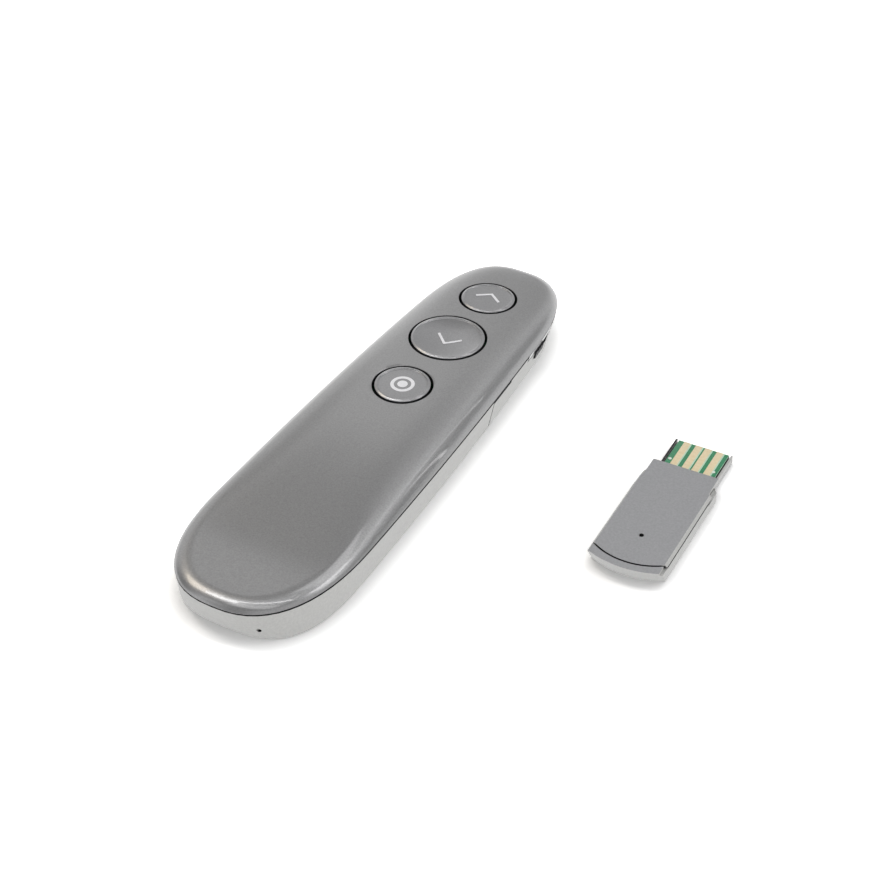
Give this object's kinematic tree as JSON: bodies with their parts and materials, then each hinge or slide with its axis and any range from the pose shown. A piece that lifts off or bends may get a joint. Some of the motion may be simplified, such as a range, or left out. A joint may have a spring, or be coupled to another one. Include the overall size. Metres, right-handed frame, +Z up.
{
  "type": "wireless presentation clicker",
  "caption": "Hand-held presentation remote with round push buttons, a laser pointer, a side power switch, a sliding battery cover and its separate USB receiver.",
  "frame": {"origin": "on the table, under the middle of the clicker's length, on the clicker's middle plane", "axes": "+Y along the clicker towards its laser end, +Z up, +X to the clicker's right, where the receiver lies"},
  "size_m": [0.082, 0.1208, 0.0132],
  "materials": {
    "cover": "glossy metallic grey lacquer",
    "button": "glossy metallic grey lacquer",
    "shell": "satin silver lacquer",
    "chassis": "black moulded plastic",
    "knob": "dark grey moulded plastic",
    "black_plastic": "black moulded plastic",
    "circuit_board": "green solder mask",
    "can": "nickel plated sheet",
    "ceramic": "off-white ceramic",
    "brass": "turned brass",
    "lens": "clear moulded lens",
    "window": "dark red clear window",
    "cell": "brushed steel can",
    "screw": "zinc plated steel",
    "receiver_cover": "satin grey lacquer",
    "receiver_base": "silver lacquer",
    "pads": "gold plated contacts"
  },
  "bodies": {
    "clicker": {"top_cover": "cover", "front_shell": "shell", "chassis": "chassis", "tact_up": "black_plastic", "tact_down": "black_plastic", "tact_spot": "black_plastic", "main_board": "circuit_board", "radio_chip": "black_plastic", "crystal": "can", "antenna": "ceramic", "power_switch": "can", "laser_barrel": "brass", "laser_diode": "brass", "laser_lens": "lens", "laser_window": "window", "coin_cell": "cell", "contact_positive": "can", "contact_negative": "can", "screws": "screw"},
    "battery_cover": {"battery_cover": "shell"},
    "button_up": {"button_up": "button", "plunger_up": "black_plastic"},
    "button_down": {"button_down": "button", "plunger_down": "black_plastic"},
    "button_spot": {"button_spot": "button", "plunger_spot": "black_plastic"},
    "power_knob": {"power_knob": "knob", "power_lever": "black_plastic"},
    "receiver": {"receiver_cover": "receiver_cover", "receiver_base": "receiver_base", "receiver_board": "circuit_board", "receiver_pads": "pads", "receiver_chip": "black_plastic", "receiver_light": "ceramic"}
  },
  "joints": [
    {"name": "battery_cover_slide", "type": "slide", "parent": "clicker", "child": "battery_cover", "axis": [0, -1, 0], "range_m": [0, 0.082]},
    {"name": "button_up_press", "type": "slide", "parent": "clicker", "child": "button_up", "axis": [0, -0.0567, -0.9984], "range_m": [0, 0.0006], "stiffness_N_per_m": 1500, "springref_m": -0.0005},
    {"name": "button_down_press", "type": "slide", "parent": "clicker", "child": "button_down", "axis": [0, -0.0219, -0.9998], "range_m": [0, 0.0006], "stiffness_N_per_m": 1500, "springref_m": -0.0005},
    {"name": "button_spot_press", "type": "slide", "parent": "clicker", "child": "button_spot", "axis": [0, 0.0154, -0.9999], "range_m": [0, 0.0006], "stiffness_N_per_m": 1500, "springref_m": -0.0005},
    {"name": "power_switch_slide", "type": "slide", "parent": "clicker", "child": "power_knob", "axis": [0, 1, 0], "range_m": [0, 0.0028]},
    {"name": "receiver_lift", "type": "slide", "parent": "clicker", "child": "receiver", "axis": [0, 0, 1], "range_m": [0, 0.03]}
  ]
}
